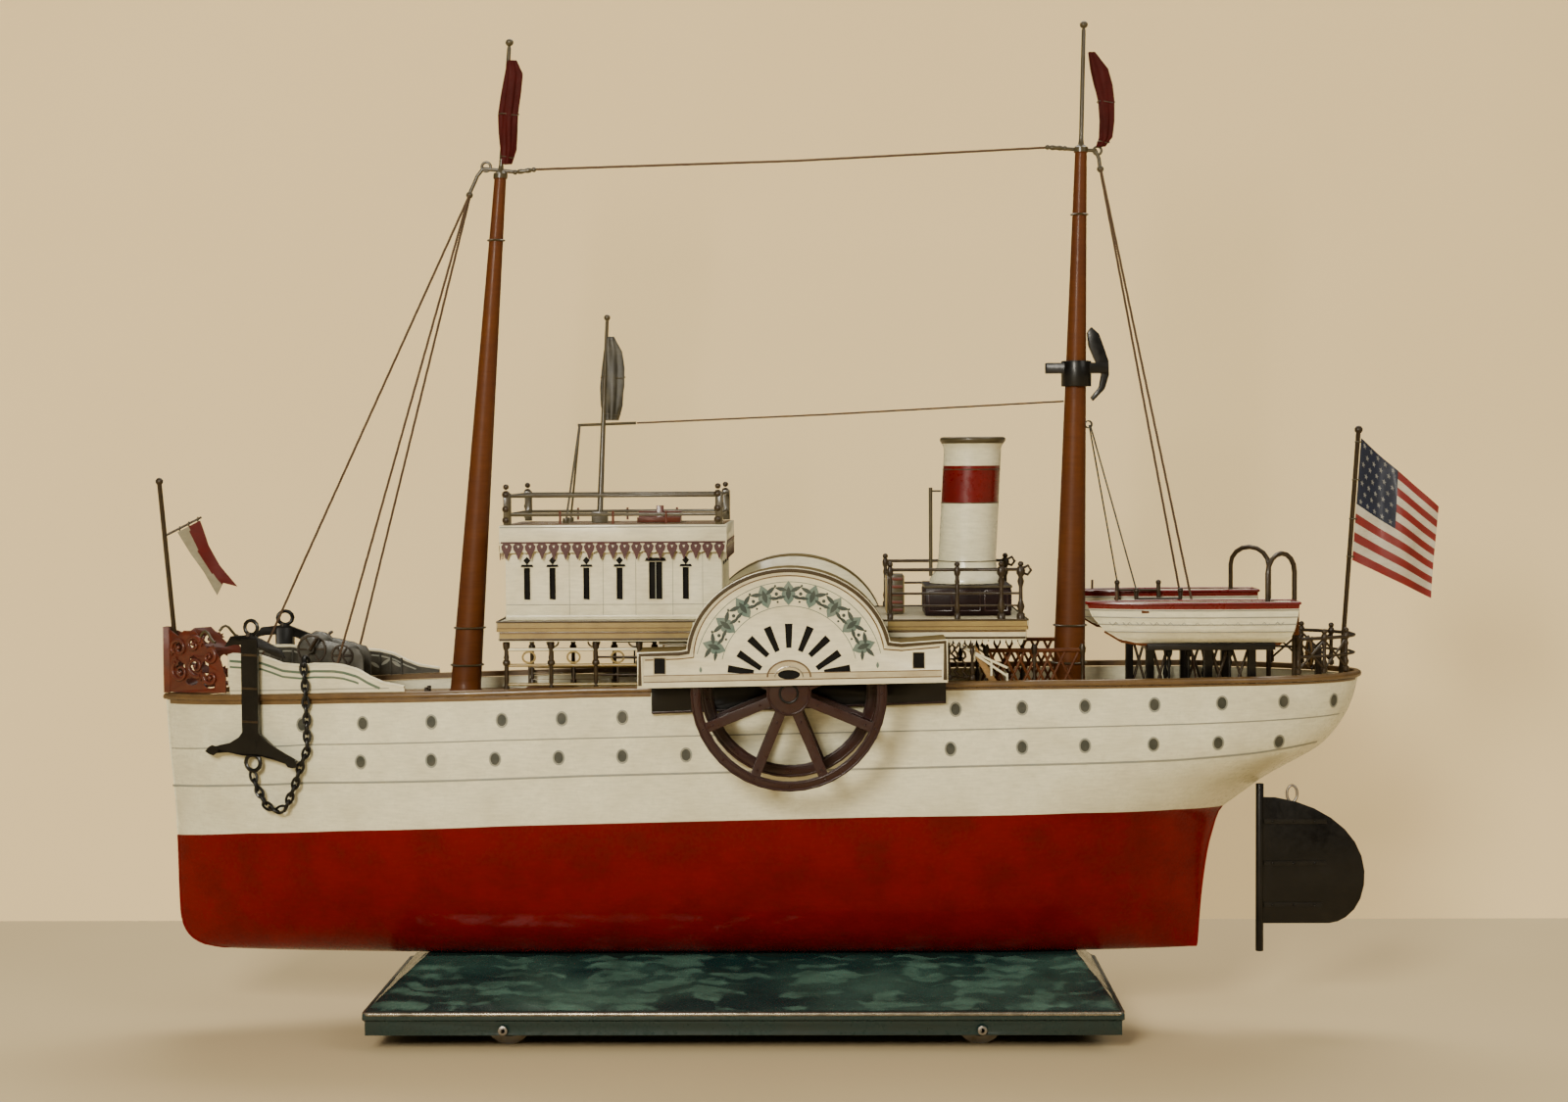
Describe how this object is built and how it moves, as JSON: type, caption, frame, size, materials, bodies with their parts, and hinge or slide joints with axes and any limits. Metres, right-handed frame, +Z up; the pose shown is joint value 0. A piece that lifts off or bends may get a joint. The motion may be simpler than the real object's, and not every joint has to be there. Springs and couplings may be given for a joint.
{
  "type": "toy paddle steamer",
  "caption": "Painted tinplate toy side-wheel paddle steamer with two masts, funnel, deckhouse, lifeboats and a hung rudder, on a four-wheeled tin wave stand.",
  "frame": {"origin": "centre of the footprint at the floor, under the middle of the ship's length", "axes": "+X towards the stern along the keel, +Y to starboard, +Z up; the port side faces -Y"},
  "size_m": [0.5496, 0.1536, 0.4283],
  "materials": {
    "white_enamel": "gloss",
    "ochre_enamel": "satin",
    "maroon_enamel": "gloss",
    "black_enamel": "satin",
    "brown_enamel": "satin",
    "olive_enamel": "satin",
    "teal_enamel": "gloss",
    "flag_tin": "matt",
    "stay_wire": "satin",
    "tinned_steel": "satin"
  },
  "bodies": {
    "ship_and_stand": {"anchor_chain_port": "black_enamel", "anchor_chain_starboard": "black_enamel", "anchor_port": "black_enamel", "anchor_starboard": "black_enamel", "boat_cradle_port": "black_enamel", "boat_cradle_starboard": "black_enamel", "bow_pennant": "flag_tin", "bow_scroll": "brown_enamel", "bridge_bench": "brown_enamel", "bridge_deck": "white_enamel", "bridge_rail": "olive_enamel", "bulwark_port": "white_enamel", "bulwark_starboard": "white_enamel", "davit_port": "olive_enamel", "davit_starboard": "olive_enamel", "deck_locker": "white_enamel", "deck_moulding": "ochre_enamel", "deckhouse": "white_enamel", "engine_house": "white_enamel", "ensign": "flag_tin", "ensign_staff": "olive_enamel", "fore_flag": "flag_tin", "fore_mast": "brown_enamel", "fore_shroud_port": "stay_wire", "fore_shroud_starboard": "stay_wire", "fore_stay": "stay_wire", "funnel": "white_enamel", "funnel_casing": "maroon_enamel", "guard_port": "black_enamel", "guard_starboard": "black_enamel", "hull": "white_enamel", "jackstaff": "olive_enamel", "lifeboat_port": "white_enamel", "lifeboat_starboard": "white_enamel", "lookout": "black_enamel", "main_deck": "ochre_enamel", "main_flag": "flag_tin", "main_mast": "brown_enamel", "main_shroud_port": "stay_wire", "main_shroud_starboard": "stay_wire", "mast_stay": "stay_wire", "paddle_box_port": "white_enamel", "paddle_box_starboard": "white_enamel", "promenade_deck": "white_enamel", "promenade_posts_port": "ochre_enamel", "promenade_posts_starboard": "ochre_enamel", "promenade_rail_port": "olive_enamel", "promenade_rail_starboard": "olive_enamel", "signal_mast": "olive_enamel", "signal_stay": "stay_wire", "stair_port": "ochre_enamel", "stair_starboard": "ochre_enamel", "stand_body": "teal_enamel", "steering_wheel": "brown_enamel", "stern_rail": "olive_enamel", "windlass": "black_enamel"},
    "paddles": {"paddle_wheels": "maroon_enamel"},
    "rudder": {"rudder": "black_enamel"},
    "front_axle": {"stand_axle_front": "tinned_steel"},
    "rear_axle": {"stand_axle_rear": "tinned_steel"}
  },
  "joints": [
    {"name": "paddle_spin", "type": "hinge", "parent": "ship_and_stand", "child": "paddles", "pos_m": [-0.001, 0, 0.14965], "axis": [0, 1, 0], "continuous": true},
    {"name": "rudder_turn", "type": "hinge", "parent": "ship_and_stand", "child": "rudder", "pos_m": [0.1994, 0, 0.06765], "axis": [0, 0, 1], "range_deg": [-35, 35]},
    {"name": "front_axle_spin", "type": "hinge", "parent": "ship_and_stand", "child": "front_axle", "pos_m": [-0.1192, 0, 0.01], "axis": [0, 1, 0], "continuous": true},
    {"name": "rear_axle_spin", "type": "hinge", "parent": "ship_and_stand", "child": "rear_axle", "pos_m": [0.0768, 0, 0.01], "axis": [0, 1, 0], "continuous": true}
  ]
}
